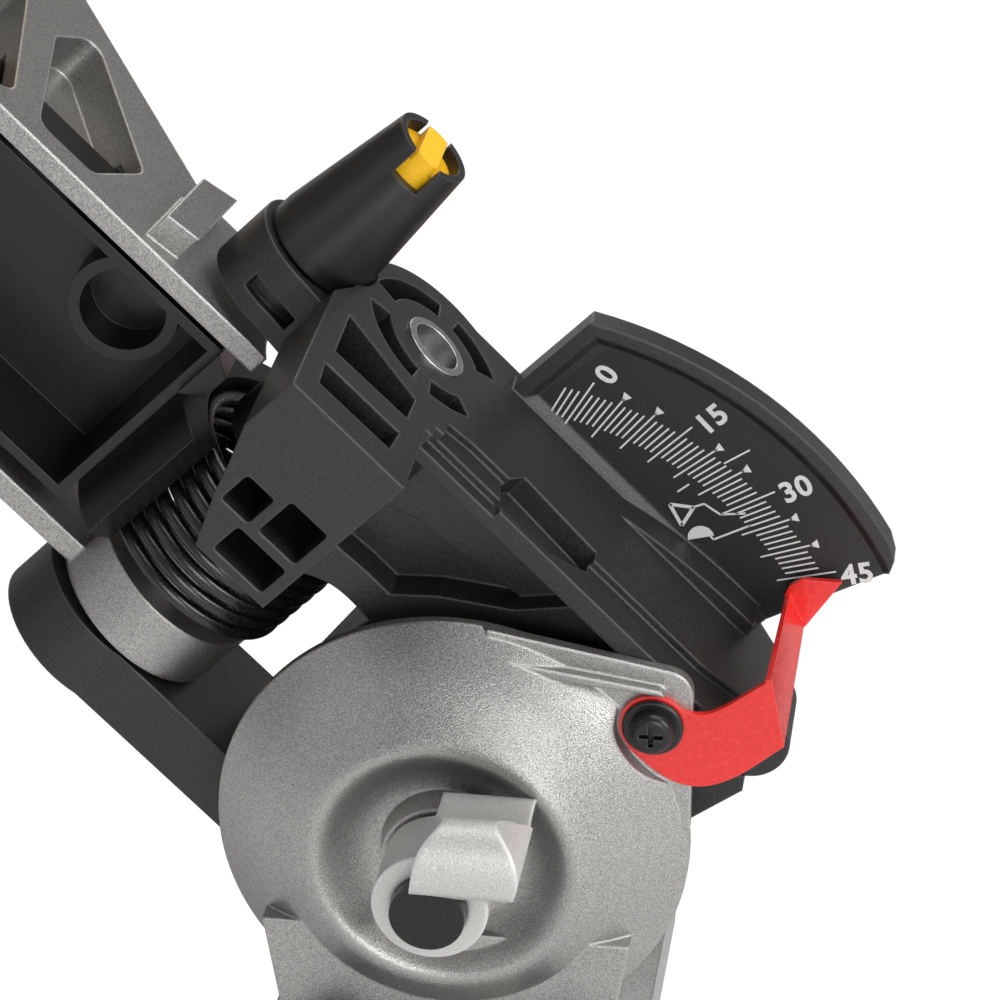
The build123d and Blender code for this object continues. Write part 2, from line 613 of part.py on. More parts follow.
with BuildPart() as trunnion:
    # core round the clamp bolt, with a thin flange against the hub's rim
    with BuildSketch(rear(HEAD, 14)):
        Circle(CORE_R)
    extrude(amount=FLANGE_Y - 14)
    with BuildSketch(rear(HEAD, FLANGE_Y)):
        Circle(FLANGE_R)
    extrude(amount=DOME_Y - 0.5 - FLANGE_Y)
    # web between the core and the left wall
    with BuildSketch(rear(HEAD, 4)):
        Polygon((14, 30), (13, 46), (17, 51.5), (22.6, 53.5), (23, 80), (64, 80), (64, -30), (46, -44),
                (20, -40),
                align=None)
    extrude(amount=22)
    # arched gusset under the rear block, with a raised border and a step beside the wall
    with BuildSketch(rear(HEAD, 25)):
        with BuildLine():
            arch = Spline((11, 72), (16.7, 65), (19.1, 59.2), (19.5, 53.4), (19, 47))
            Polyline(arch @ 1, (14, 24), (20, -20), (62, -20), (62, 78), (24, 78), arch @ 0)
        make_face()
    extrude(amount=15)
    with BuildSketch(rear(HEAD, 31)):
        Polygon((27.1, 66), (27.6, 56.4), (27.5, 49.2), (35.4, 41.8), (46, 28.2), (59.8, 18),
                (59.8, 73), (27.1, 73),
                align=None)
    extrude(amount=20, mode=Mode.SUBTRACT)
    with BuildSketch(rear(HEAD, 30)):
        Polygon((38, 68), (43.2, 56), (43.2, 49.6), (47, 24), (61, 14), (61, 74), (38, 74), align=None)
    extrude(amount=4)
    extrude(round_face(side(PIVOT, BLOCK_A), 26.4), amount=45, mode=Mode.SUBTRACT)
    # left wall
    with BuildSketch(side(HEAD, SIDE_A)):
        Polygon((-7.5, 79.5), (-7.5, -16), (2, -30), (24, -34), (42, -28), (WALL_Y_END, -14),
                (WALL_Y_END, 76), (72, 80),
                (72, BLOCK_TOP), (30, BLOCK_TOP), (PIVOT_Y, 100), align=None)
    extrude(amount=7)
    # rear block
    with BuildSketch(rear(HEAD, 34)):
        with BuildLine():
            Polyline((SIDE_A, BLOCK_LOW), (SIDE_A, BLOCK_TOP), (52, BLOCK_TOP), (42.4, 102.8), (36, 100.5),
                     (23.2, 94.5), (23.2, BLOCK_LOW), close=True)
        make_face()
    extrude(amount=BLOCK_END - 34)
    # boss round the chop shaft
    extrude(round_face(side(PIVOT, SIDE_A), RING_OUT), amount=22)
    extrude(round_face(side(PIVOT, SIDE_A - 20), 20), amount=SIDE_A - 20 - BLOCK_A)
    # boss for the lock pin, with a curved slot round its rear
    with BuildSketch(side(HEAD, KEY_A - 1)):
        with Locations((KEY_Y, KEY_H)):
            Circle(15)
        Polygon((KEY_Y - 15, KEY_H), (KEY_Y + 15, KEY_H), (KEY_Y + 19, 94), (KEY_Y - 8, 94), align=None)
    extrude(amount=KEY_A - 1 - 45)
    with BuildSketch(side(HEAD, 53.4)):
        with BuildLine():
            ring_sector(12.6, 17, -32, 62, (KEY_Y, KEY_H))
        make_face()
    extrude(amount=4, mode=Mode.SUBTRACT)
    extrude(round_face(side(KEY, SIDE_A + 9), 13.8), amount=SIDE_A + 9 - KEY_A + 0.6, mode=Mode.SUBTRACT)
    # right arm
    with BuildSketch(side(HEAD, -34.5)):
        with Locations((PIVOT_Y, PIVOT_H), (PIVOT_Y + 1, PIVOT_H + 4.5)):
            Circle(20.5)
        Polygon((-5.5, PIVOT_H), (35.5, PIVOT_H), (36, 20), (46, -6), (14, -30), (-5.5, 2), align=None)
    extrude(amount=15.5)
    # inner flange joining the right arm and the web
    with BuildSketch(rear(HEAD, 2)):
        Polygon((46, -44), (48, 2), (30, 30), (14, 40), (0, 42), (-20, 40), (-40, 36), (-50, 22), (-50, -2),
                (-30, -30), (0, -42), align=None)
    extrude(amount=14)
    # stop lug
    with BuildSketch(rear(HEAD, -5)):
        with Locations((51, -39.5)):
            Circle(9.5)
        Polygon((36, -30), (60, -20), (60, -36), (44, -46), align=None)
    extrude(amount=20)
    # scale plate
    with BuildSketch(rear(HEAD, -5)):
        with BuildLine():
            rim = CenterArc((0, 0), SCALE_R, PLATE_LOW, top_angle - PLATE_LOW)
            Polyline(rim @ 1, (60, PLATE_TOP), (60, -22), (64.5, -22.1), *PLATE_CORNER, rim @ 0)
        make_face()
    extrude(amount=5)
    # raised rim round the plate's arc and top, sloping down to the floor
    with BuildSketch(rear(HEAD, -1)):
        with BuildLine():
            rim = CenterArc((0, 0), SCALE_R, PLATE_LOW, top_angle - PLATE_LOW)
            Polyline(rim @ 1, (64, PLATE_TOP), (64, -22.1), *PLATE_CORNER, rim @ 0)
        make_face()
    extrude(amount=1 + RIM_RISE)
    with BuildSketch(rear(HEAD, 0)):
        with BuildLine():
            floor_top = degrees(asin(FLOOR_TOP / FLOOR_R))
            edge = CenterArc((0, 0), FLOOR_R, -24, 24 + floor_top)
            Polyline(edge @ 1, (69.5, FLOOR_TOP), (69.5, -43), edge @ 0)
        make_face()
    extrude(amount=RIM_RISE + 0.4, taper=-50, mode=Mode.SUBTRACT)
    # ledge where the wall meets the lower part of the plate
    with BuildSketch(rear(HEAD, -4)):
        with BuildLine():
            Spline((66, 26), (69.5, 4), (70.5, -20))
            Polyline((70.5, -20), (60, -22), (60, 26), (66, 26))
        make_face()
    extrude(amount=14)
    # four curved slots round the bushing
    for start, span in ((8, 69), (103, 69), (190, 50), (-45, 37)):
        with BuildSketch(side(PIVOT, SIDE_A + 1)):
            with BuildLine():
                ring_sector(13.6, 19.4, start, span)
            make_face()
        extrude(amount=15, mode=Mode.SUBTRACT)
    # long slots in the side of the block
    for corners in (((33.5, 101.4), (51.8, 101.1), (51.1, 79.7), (41.2, 79.5)),
                    ((58.8, 102.2), (68.2, 101.6), (67.8, 81), (58.7, 80.2))):
        with BuildSketch(side(HEAD, SIDE_A + 1)):
            Polygon(*corners, align=None)
        extrude(amount=15, mode=Mode.SUBTRACT)
    # recessed strip and pocket behind the flat of the side wall
    with BuildSketch(side(HEAD, SIDE_A + 1)):
        Polygon((37, 62), (38.5, 70), (44, 70), (44, 52), (60, 52), (60, -40), (30, -40), (37, -10),
                align=None)
    extrude(amount=3, mode=Mode.SUBTRACT)
    with BuildSketch(side(HEAD, SIDE_A + 1)):
        Polygon((44, 72.5), (80, 72.5), (80, 50), (44, 50), align=None)
    extrude(amount=5, mode=Mode.SUBTRACT)
    with BuildSketch(side(HEAD, SIDE_A + 1)):
        Polygon((31, 47.5), (38.5, 52), (46.4, 50), (46.4, 35), (40, 24.5), (33.2, 24.5), align=None)
    extrude(amount=6.8, mode=Mode.SUBTRACT)
    # pockets in the rear face of the block
    with BuildSketch(rear(HEAD, BLOCK_END - 26)):
        for low, high in (((35.5, 90.5), (44, 98.5)), ((36, 77.2), (46.5, 88)), ((25.5, 77.2), (33.5, 91.5))):
            with Locations(((low[0] + high[0]) / 2, (low[1] + high[1]) / 2)):
                RectangleRounded(high[0] - low[0], high[1] - low[1], 1)
    extrude(amount=40, mode=Mode.SUBTRACT)
    # bores for the bushings, the lock pin, the clamp bolt and the stop screw
    with BuildSketch(side(HEAD, SIDE_A + 20)):
        with Locations((PIVOT_Y, PIVOT_H)):
            Circle(BUSH_R)
    extrude(amount=200, mode=Mode.SUBTRACT)
    with BuildSketch(side(HEAD, 80)):
        with Locations((KEY_Y, KEY_H)):
            Circle(5 + RUN)
    extrude(amount=60, mode=Mode.SUBTRACT)
    with BuildSketch(rear(HEAD, -20)):
        Circle(8.4 + RUN)
    extrude(amount=100, mode=Mode.SUBTRACT)
    with BuildSketch(rear(HEAD, -10)):
        Circle(15.5)
    extrude(amount=24, mode=Mode.SUBTRACT)
    with BuildSketch(rear(HEAD, -10)):
        with Locations((51, -39.5)):
            Circle(3)
    extrude(amount=40, mode=Mode.SUBTRACT)
save(trunnion.part, "trunnion")

with BuildPart() as bushing_left:
    extrude(round_face(side(PIVOT, SIDE_A + 0.6), BUSH_R - 0.02, SHAFT_R + RUN), amount=SIDE_A - BLOCK_A)
save(bushing_left.part, "bushing_left")

with BuildPart() as bushing_right:
    extrude(round_face(side(PIVOT, -34.2), BUSH_R - 0.02, SHAFT_R + RUN), amount=15.6)
save(bushing_right.part, "bushing_right")

with BuildPart() as chop_shaft:
    extrude(round_face(side(PIVOT, SIDE_A - 5), SHAFT_R), amount=SIDE_A - 5 + 49)
    chamfer(chop_shaft.edges().filter_by(GeomType.CIRCLE), 0.8)
save(chop_shaft.part, "chop_shaft")

with BuildPart() as stop_screw:
    extrude(round_face(rear(HEAD * Location((-51, 0, -39.5)), -14), 2.9), amount=26)
    with BuildSketch(rear(HEAD * Location((-51, 0, -39.5)), -14)):
        RegularPolygon(5.5, 6)
    extrude(amount=4)
save(stop_screw.part, "stop_screw")

# torsion spring round the chop shaft
SPRING_WIRE = 1.7
SPRING_PITCH = 4.2
SPRING_R = 23.4
SPRING_START = 19.0     # left end of the coil
SPRING_TURNS = 8
with BuildPart() as torsion_spring:
    coil = PIVOT * Location((-SPRING_START, 0, 0), (0, 90, 0))
    with BuildLine():
        wire = Helix(SPRING_PITCH, SPRING_PITCH * SPRING_TURNS, SPRING_R).moved(coil)
    with BuildSketch(Plane(origin=wire @ 0, z_dir=wire % 0)):
        Circle(SPRING_WIRE)
    sweep(path=wire, is_frenet=True)
save(torsion_spring.part, "torsion_spring")

# head lock pin with its tapered knob
with BuildPart() as lock_pin:
    extrude(round_face(side(KEY, 70), 5), amount=26)
    with BuildSketch(rear(KEY, 0)):
        Polygon((KEY_A, 0), (KEY_A, 13.2), (KEY_A + 4, 13.2), (KEY_A + 37, 9.6), (KEY_A + 37, 0), align=None)
    revolve(axis=Axis(side(KEY, 0).origin, side(KEY, 0).z_dir))
    # hollow end with two notches for the fingers
    extrude(round_face(side(KEY, KEY_A + 37), 7.8), amount=13, mode=Mode.SUBTRACT)
    with BuildSketch(side(KEY, KEY_A + 37)):
        Rectangle(40, 7)
    extrude(amount=7, mode=Mode.SUBTRACT)
save(lock_pin.part, "lock_pin")

with BuildPart() as lock_pin_insert:
    extrude(round_face(side(KEY, KEY_A + 34), 7.75), amount=10)
    with BuildSketch(side(KEY, KEY_A + 37)):
        Rectangle(24, 5.6)
    extrude(amount=6)
    with BuildSketch(side(KEY, KEY_A + 40)):
        Circle(7.75)
    extrude(amount=20, mode=Mode.INTERSECT)
save(lock_pin_insert.part, "lock_pin_insert")

# ================================================================ arm, chop body
WALL_LEFT = (41.0, 36.0)       # left wall of the arm casting
WALL_RIGHT = (-26.0, -31.5)    # right wall
RIM_Y = 25.0
FRONT_Y = -12.0
CLEAR_R = 27.0
CASE_OUT = 62.0
NOSE_R = 30.0
PLATE_A = (23.0, 41.0)

with BuildPart() as arm:
    # right wall and boss on the chop shaft
    with BuildSketch(side(HEAD, WALL_RIGHT[0])):
        Polygon((-13, 92), (FRONT_Y, 240), (RIM_Y, 240), (RIM_Y, 100), (30, 90), (15, 60), align=None)
    extrude(amount=WALL_RIGHT[0] - WALL_RIGHT[1])
    extrude(round_face(side(PIVOT, -18), 22.5), amount=14.5)
    extrude(round_face(side(PIVOT, 20.5), 12), amount=40)
    # front wall
    with BuildSketch(rear(HEAD, FRONT_Y)):
        Polygon((WALL_RIGHT[1], 108), (WALL_LEFT[0], 108), (WALL_LEFT[0], 240),
                (WALL_RIGHT[1], 240), align=None)
    extrude(amount=6)
    # left wall and the plate that reaches forward to the gear case
    with BuildSketch(side(HEAD, WALL_LEFT[0])):
        Polygon((FRONT_Y, 104), (RIM_Y, 104), (RIM_Y, 240), (FRONT_Y, 240), align=None)
    extrude(amount=WALL_LEFT[0] - WALL_LEFT[1])
    reach_line = [(FRONT_Y + 4, 128), (RIM_Y, 150), (RIM_Y, 240), (-20, 300), (-110, 352), (-190, 362),
                  (-235, 330), (-240, 280), (-190, 250), (-110, 232), (-50, 190)]
    with BuildSketch(side(HEAD, PLATE_A[1])) as reach:
        Polygon(*reach_line, align=None)
        fillet(reach.vertices(), 8)
    extrude(amount=PLATE_A[1] - PLATE_A[0])
    # channel for the dust chute
    with BuildSketch(side(HEAD, WALL_LEFT[1])):
        Polygon((FRONT_Y + 6, 100), (60, 100), (60, 234), (FRONT_Y + 6, 234), align=None)
    extrude(amount=WALL_LEFT[1] - WALL_RIGHT[0], mode=Mode.SUBTRACT)
    # bridge across the top of the channel
    with BuildSketch(side(HEAD, WALL_LEFT[0])):
        Polygon((FRONT_Y, 234), (RIM_Y, 234), (RIM_Y, 240), (4, 272), (-12, 272), (-10, 240), align=None)
    extrude(amount=WALL_LEFT[0] - WALL_RIGHT[1])
    # clear of the trunnion round the shaft
    extrude(round_face(side(PIVOT, WALL_LEFT[0] + 5), CLEAR_R),
            amount=WALL_LEFT[0] + 5 - 21.5, mode=Mode.SUBTRACT)
    # weight-saving pockets between ribs on the left face
    for corners in (((0, 150), (18, 160), (18, 176), (-20, 184), (-34, 176)),
                    ((18, 184), (18, 232), (-18, 268), (-30, 262), (-30, 196)),
                    ((-38, 186), (-38, 276), (-62, 306), (-70, 300), (-70, 214)),
                    ((-78, 222), (-78, 310), (-104, 332), (-118, 330), (-118, 240))):
        with BuildSketch(side(HEAD, PLATE_A[1] + 1)) as pocket:
            Polygon(*corners, align=None)
            fillet(pocket.vertices(), 4)
        extrude(amount=12, mode=Mode.SUBTRACT)
    # catch beside the lock pin
    with BuildSketch(side(HEAD, 48)):
        Polygon((-9, 130), (19.5, 133.5), (21.5, 142.5), (-5, 139.5), align=None)
    extrude(amount=48 - WALL_LEFT[1])
    extrude(round_face(side(PIVOT, 70), SHAFT_R + RUN), amount=140, mode=Mode.SUBTRACT)
    # seat for the gear case nose and spindle
    extrude(round_face(side(BLADE, 60), NOSE_R + 0.05), amount=80, mode=Mode.SUBTRACT)
    extrude(round_face(side(MOTOR, 60), 17), amount=80, mode=Mode.SUBTRACT)
save(arm.part, "arm")

CHUTE_LOW = 112.0
CHUTE_TOP = 228.0
with BuildPart() as dust_chute:
    with BuildSketch(rear(HEAD, FRONT_Y + 6.4)):
        Polygon((-22, CHUTE_LOW), (34, CHUTE_LOW), (34, CHUTE_TOP), (-22, CHUTE_TOP), align=None)
    extrude(amount=RIM_Y - FRONT_Y - 8)
    with BuildSketch(rear(HEAD, FRONT_Y + 10)):
        Polygon((-19.5, CHUTE_LOW + 2.5), (31.5, CHUTE_LOW + 2.5), (31.5, CHUTE_TOP - 2.5),
                (-19.5, CHUTE_TOP - 2.5),
                align=None)
    extrude(amount=60, mode=Mode.SUBTRACT)
    # round end of the inlet duct, low in the mouth
    with BuildSketch(rear(HEAD, FRONT_Y + 9)):
        with Locations((17, 132)):
            Circle(13)
            Circle(10, mode=Mode.SUBTRACT)
    extrude(amount=12)
    # hook under the mouth
    with BuildSketch(rear(HEAD, 6)):
        Polygon((20, CHUTE_LOW + 0.5), (34, CHUTE_LOW + 0.5), (31, CHUTE_LOW - 4.5),
                (24, CHUTE_LOW - 4.5), align=None)
    extrude(amount=RIM_Y - 5)
    # shroud over the spring
    with BuildSketch(side(PIVOT, 20.6)):
        with BuildLine():
            ring_sector(26.2, 33.4, 48, 112)
        make_face()
    extrude(amount=36)
save(dust_chute.part, "dust_chute")

# ---------------------------------------------------------------- gear case and motor
CASE_R = 56.0
CASE_TOP_R = 30.0
FLANGE_END = 68.0


def case_face(plane, big, small):
    """Outline round the big gear and the motor pinion."""
    with BuildSketch(plane) as face:
        Circle(big)
        with Locations((MOTOR_Y, MOTOR_H)):
            Circle(small)
        make_hull()
    return face.sketch


with BuildPart() as gear_case:
    extrude(case_face(side(BLADE, CASE_OUT), CASE_R, CASE_TOP_R), amount=CASE_OUT - PLATE_A[1] - 0.1)
    extrude(round_face(side(MOTOR, FLANGE_END), MOTOR_R + 3), amount=12)
    extrude(case_face(side(BLADE, CASE_OUT - 7), CASE_R - 5, CASE_TOP_R - 6), amount=CASE_OUT - 7 - 44,
            mode=Mode.SUBTRACT)
    extrude(round_face(side(BLADE, 46), NOSE_R), amount=46 - 9)
    extrude(round_face(side(BLADE, 60), 8 + RUN), amount=80, mode=Mode.SUBTRACT)
    extrude(round_face(side(MOTOR, 80), 6 + RUN), amount=60, mode=Mode.SUBTRACT)
save(gear_case.part, "gear_case")

MOTOR_END = 232.0
with BuildPart() as motor_housing:
    extrude(round_face(side(MOTOR, MOTOR_END), MOTOR_R, MOTOR_R - 4), amount=MOTOR_END - FLANGE_END)
    # bearing wall next to the end cap
    extrude(round_face(side(MOTOR, MOTOR_END), MOTOR_R - 3, 6 + RUN), amount=6)
    # cooling ribs
    with BuildSketch(side(MOTOR, MOTOR_END - 70)):
        with PolarLocations(MOTOR_R + 0.4, 30):
            Rectangle(3, 3)
    extrude(amount=MOTOR_END - 70 - FLANGE_END - 10)
    # brush holders
    for turn in (60, 240):
        holder = MOTOR * Location((-(MOTOR_END - 26), 0, 0), (turn, 0, 0))
        with BuildSketch(level(holder, MOTOR_R - 4)):
            Circle(11)
        extrude(amount=9)
        with BuildSketch(level(holder, MOTOR_R - 10)):
            Circle(7)
        extrude(amount=30, mode=Mode.SUBTRACT)
save(motor_housing.part, "motor_housing")

with BuildPart() as brush_caps:
    for turn in (60, 240):
        holder = MOTOR * Location((-(MOTOR_END - 26), 0, 0), (turn, 0, 0))
        with BuildSketch(level(holder, MOTOR_R - 8)):
            Circle(6.9)
        extrude(amount=14.5)
        with BuildSketch(level(holder, MOTOR_R + 5.4)):
            Rectangle(9, 1.6)
        extrude(amount=3, mode=Mode.SUBTRACT)
save(brush_caps.part, "brush_caps")

with BuildPart() as end_cap:
    extrude(round_face(side(MOTOR, MOTOR_END + 26), MOTOR_R), amount=26)
    fillet(end_cap.faces().sort_by(Axis(side(MOTOR, 0).origin, side(MOTOR, 0).z_dir))[0].edges(), 9)
    extrude(round_face(side(MOTOR, MOTOR_END + 22), MOTOR_R - 4), amount=40, mode=Mode.SUBTRACT)
    with BuildSketch(side(MOTOR, MOTOR_END + 30)):
        with PolarLocations(24, 12):
            SlotOverall(20, 4)
    extrude(amount=12, mode=Mode.SUBTRACT)
save(end_cap.part, "end_cap")

with BuildPart() as cord_gland:
    with BuildSketch(level(MOTOR * Location((-(MOTOR_END + 6), 0, 0), (140, 0, 0)), MOTOR_R - 2)):
        Circle(7.5)
    extrude(amount=16)
    with BuildSketch(level(MOTOR * Location((-(MOTOR_END + 6), 0, 0), (140, 0, 0)), MOTOR_R + 4)):
        Circle(4)
    extrude(amount=20, mode=Mode.SUBTRACT)
    extrude(round_face(side(MOTOR, MOTOR_END + 20), MOTOR_R + 0.1), amount=40, mode=Mode.SUBTRACT)
save(cord_gland.part, "cord_gland")


def involute_gear(plane, teeth, bore):
    """Spur gear with 20 degree involute flanks, short teeth and some backlash."""
    pitch = MODULE * teeth / 2
    base_r = pitch * cos(radians(20))
    tip = pitch + 0.8 * MODULE
    root = pitch - 1.05 * MODULE
    low = max(base_r, root)
    half = degrees((pi / 2 - 0.12) / teeth) + degrees(tan(radians(20)) - radians(20))
    flank = []
    for step in range(5):
        radius = low + (tip - low) * step / 4
        roll = sqrt(max(radius ** 2 / base_r ** 2 - 1, 0))
        flank.append((radius, half - degrees(roll - atan(roll))))
    with BuildSketch(plane) as face:
        Circle(root)
        with BuildSketch(mode=Mode.PRIVATE) as tooth:
            points = [polar(root - 1, -half)] + [polar(r, -a) for r, a in flank]
            points += [polar(r, a) for r, a in reversed(flank)] + [polar(root - 1, half)]
            Polygon(*points, align=None)
        with PolarLocations(0, teeth):
            add(tooth.sketch)
        Circle(bore, mode=Mode.SUBTRACT)
    return face.sketch


MESH_ANGLE = degrees(atan2(MOTOR_H, MOTOR_Y))
with BuildPart() as drive_gear:
    turned = BLADE * Location((0, 0, 0), (MESH_ANGLE, 0, 0))
    extrude(involute_gear(side(turned, 53), GEAR_TEETH, 8), amount=7)
save(drive_gear.part, "drive_gear")

with BuildPart() as armature:
    turned = MOTOR * Location((0, 0, 0), (MESH_ANGLE + 180 + 180 / PINION_TEETH, 0, 0))
    extrude(involute_gear(side(turned, 54), PINION_TEETH, 2), amount=9)
    extrude(round_face(side(MOTOR, MOTOR_END + 12), 6), amount=MOTOR_END + 12 - 45.2)
    extrude(round_face(side(MOTOR, 176), 26), amount=70)
    extrude(round_face(side(MOTOR, MOTOR_END - 14), 15), amount=24)
save(armature.part, "armature")

with BuildPart() as cooling_fan:
    extrude(round_face(side(MOTOR, 96), 40, 6), amount=3)
    with BuildSketch(side(MOTOR, 93)):
        with PolarLocations(28, 11):
            Rectangle(20, 1.6, rotation=25)
    extrude(amount=12)
save(cooling_fan.part, "cooling_fan")

with BuildPart() as field_coils:
    extrude(round_face(side(MOTOR, 176), MOTOR_R - 4.1, 27.5), amount=66)
save(field_coils.part, "field_coils")

# ---------------------------------------------------------------- blade and arbor
TEETH = 40
FLANGE_BLADE_R = 27.0
with BuildPart() as blade:
    with BuildSketch(side(BLADE, BLADE_T / 2)):
        Circle(BLADE_R - 7)
        with BuildSketch(mode=Mode.PRIVATE) as tooth:
            with BuildLine():
                Polyline(polar(BLADE_R - 9, 0), polar(BLADE_R, 4.2), polar(BLADE_R - 0.6, 2.9),
                         polar(BLADE_R - 6, -2.2), polar(BLADE_R - 9, -2.2), close=True)
            make_face()
        with PolarLocations(0, TEETH):
            add(tooth.sketch)
        Circle(ARBOR_R + 0.02, mode=Mode.SUBTRACT)
        # expansion slots
        with PolarLocations(BLADE_R - 14, 4, start_angle=20):
            Rectangle(22, 1.2, mode=Mode.SUBTRACT)
        with PolarLocations(BLADE_R - 26, 4, start_angle=20):
            Circle(2.4, mode=Mode.SUBTRACT)
    extrude(amount=BLADE_T)
save(blade.part, "blade")

with BuildPart() as arbor:
    extrude(round_face(side(BLADE, 56), 8), amount=56 - 8.4)
    extrude(round_face(side(BLADE, 8.4), ARBOR_R), amount=8.4 + BLADE_T / 2 - 0.2)
    extrude(round_face(side(BLADE, 14), 4), amount=22, mode=Mode.SUBTRACT)
save(arbor.part, "arbor")

with BuildPart() as inner_flange:
    extrude(round_face(side(BLADE, 8), FLANGE_BLADE_R, ARBOR_R + 0.02), amount=8 - BLADE_T / 2)
save(inner_flange.part, "inner_flange")

with BuildPart() as outer_flange:
    extrude(round_face(side(BLADE, -BLADE_T / 2), FLANGE_BLADE_R, 4.1), amount=4)
save(outer_flange.part, "outer_flange")

with BuildPart() as arbor_bolt:
    extrude(round_face(side(BLADE, 9), 3.95), amount=15)
    with BuildSketch(side(BLADE, -BLADE_T / 2 - 4)):
        RegularPolygon(8, 6)
    extrude(amount=5.5)
save(arbor_bolt.part, "arbor_bolt")

# ---------------------------------------------------------------- guards
GUARD_A = (20.0, -22.0)
LOWER_A = (16.0, -18.0)
SKIN = 2.4
with BuildPart() as upper_guard:
    with BuildSketch(side(BLADE, GUARD_A[0])):
        Circle(GUARD_R)
        with Locations((0, -GUARD_R - 14)):
            Rectangle(3 * GUARD_R, 2 * GUARD_R, mode=Mode.SUBTRACT)
    extrude(amount=GUARD_A[0] - GUARD_A[1])
    fillet(upper_guard.edges().filter_by(GeomType.CIRCLE), 5)
    with BuildSketch(side(BLADE, GUARD_A[0] - SKIN)):
        Circle(GUARD_R - SKIN)
    extrude(amount=GUARD_A[0] - GUARD_A[1] - 2 * SKIN, mode=Mode.SUBTRACT)
    extrude(round_face(side(BLADE, GUARD_A[0] + 1), NOSE_R + 0.1), amount=10, mode=Mode.SUBTRACT)
    extrude(round_face(side(BLADE, GUARD_A[1] + 5), 36), amount=10, mode=Mode.SUBTRACT)
save(upper_guard.part, "upper_guard")

with BuildPart() as lower_guard:
    for left in (LOWER_A[0], LOWER_A[1] + 2.2):
        with BuildSketch(side(BLADE, left)):
            with BuildLine():
                ring_sector(33, LOWER_R, 150, 155)
            make_face()
            Circle(40)
            Circle(NOSE_R + 0.5, mode=Mode.SUBTRACT)
        extrude(amount=2.2)
    with BuildSketch(side(BLADE, LOWER_A[0])):
        with BuildLine():
            ring_sector(LOWER_R - 2.2, LOWER_R, 150, 155)
        make_face()
    extrude(amount=LOWER_A[0] - LOWER_A[1])
save(lower_guard.part, "lower_guard")

# ---------------------------------------------------------------- handles
GRIP_ANGLE = 49.2
GRIP_REACH = 215.0
GRIP_T = 28.0
GRIP = BLADE * Location((0, -GRIP_REACH * sin(radians(GRIP_ANGLE)), GRIP_REACH * cos(radians(GRIP_ANGLE))),
                        (GRIP_ANGLE, 0, 0))
with BuildPart() as handle:
    with BuildSketch(side(GRIP, GRIP_T / 2)):
        RectangleRounded(136, 98, 26)
        RectangleRounded(88, 48, 16, mode=Mode.SUBTRACT)
    extrude(amount=GRIP_T)
    fillet(handle.edges().filter_by(lambda e: e.length > 20), 7)
    extrude(round_face(side(BLADE, 30), GUARD_R + 0.1), amount=60, mode=Mode.SUBTRACT)
    with BuildSketch(side(GRIP, 6)):
        with Locations((0, 27)):
            Rectangle(50, 22)
    extrude(amount=12, mode=Mode.SUBTRACT)
save(handle.part, "handle")

with BuildPart() as trigger:
    with BuildSketch(side(GRIP, 5.4)):
        with BuildLine():
            Polyline((-23.5, 31), (-23.5, 23), (-20, 17), (16, 13), (22, 17), (23.5, 25),
                     (23.5, 31), close=True)
        make_face()
    extrude(amount=10.8)
save(trigger.part, "trigger")

with BuildPart() as carry_handle:
    with BuildSketch(side(HEAD, 40)):
        Polygon((-36, 318), (-40, 352), (-120, 392), (-128, 346), (-116, 354), (-112, 376), (-52, 346),
                (-48, 310),
                align=None)
    extrude(amount=15)
    with BuildSketch(side(HEAD, PLATE_A[1])) as seat:
        Polygon(*reach_line, align=None)
        fillet(seat.vertices(), 8)
    extrude(amount=PLATE_A[1] - PLATE_A[0], mode=Mode.SUBTRACT)
save(carry_handle.part, "carry_handle")
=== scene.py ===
import bpy
import bmesh
from math import cos, degrees, radians, sin
from mathutils import Matrix, Vector


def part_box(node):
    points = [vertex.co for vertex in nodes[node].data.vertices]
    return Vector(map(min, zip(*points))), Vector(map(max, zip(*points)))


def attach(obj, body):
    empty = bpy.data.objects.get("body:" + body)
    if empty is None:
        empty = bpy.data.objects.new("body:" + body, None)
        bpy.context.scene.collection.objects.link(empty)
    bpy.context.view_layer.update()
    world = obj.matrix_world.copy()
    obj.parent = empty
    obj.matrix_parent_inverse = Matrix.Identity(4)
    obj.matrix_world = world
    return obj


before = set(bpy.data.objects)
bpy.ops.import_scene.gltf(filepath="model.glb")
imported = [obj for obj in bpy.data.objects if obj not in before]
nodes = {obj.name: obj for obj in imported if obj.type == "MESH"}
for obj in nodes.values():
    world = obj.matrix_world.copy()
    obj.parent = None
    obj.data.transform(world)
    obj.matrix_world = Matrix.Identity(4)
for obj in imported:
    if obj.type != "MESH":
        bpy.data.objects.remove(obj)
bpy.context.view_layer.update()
scene = bpy.context.scene

# The head frame sits on the bevel axis behind the table, tilted 45 degrees at rest.
# In drawings on it "a" runs to the operator's left, as in part.py, and sizes are in millimetres.
MM = 0.001
HEAD = Matrix.Translation((0, 0.212, 0.092)) @ Matrix.Rotation(radians(45), 4, "Y")

# ---------------------------------------------------------------- camera
CAMERA_AT = Vector((-0.1166, 0.9776, 0.5535))
CAMERA_BACK = Vector((-0.1296, 0.8775, 0.4617))     # direction from the subject to the camera
CAMERA_LENS = 136.1
# The photo is cut out on white. Past this distance, in metres, the main view draws nothing, so the
# table and fences behind the pivot are hidden in it. Other views draw them.
CUT_OUT = 0.952
camera = bpy.data.objects.new("camera", bpy.data.cameras.new("camera"))
scene.collection.objects.link(camera)
camera.location = CAMERA_AT
camera.rotation_mode = "QUATERNION"
camera.rotation_quaternion = CAMERA_BACK.to_track_quat("Z", "Y")
camera.data.lens = CAMERA_LENS
camera.data.sensor_width = 36
camera.data.clip_end = CUT_OUT
scene.camera = camera


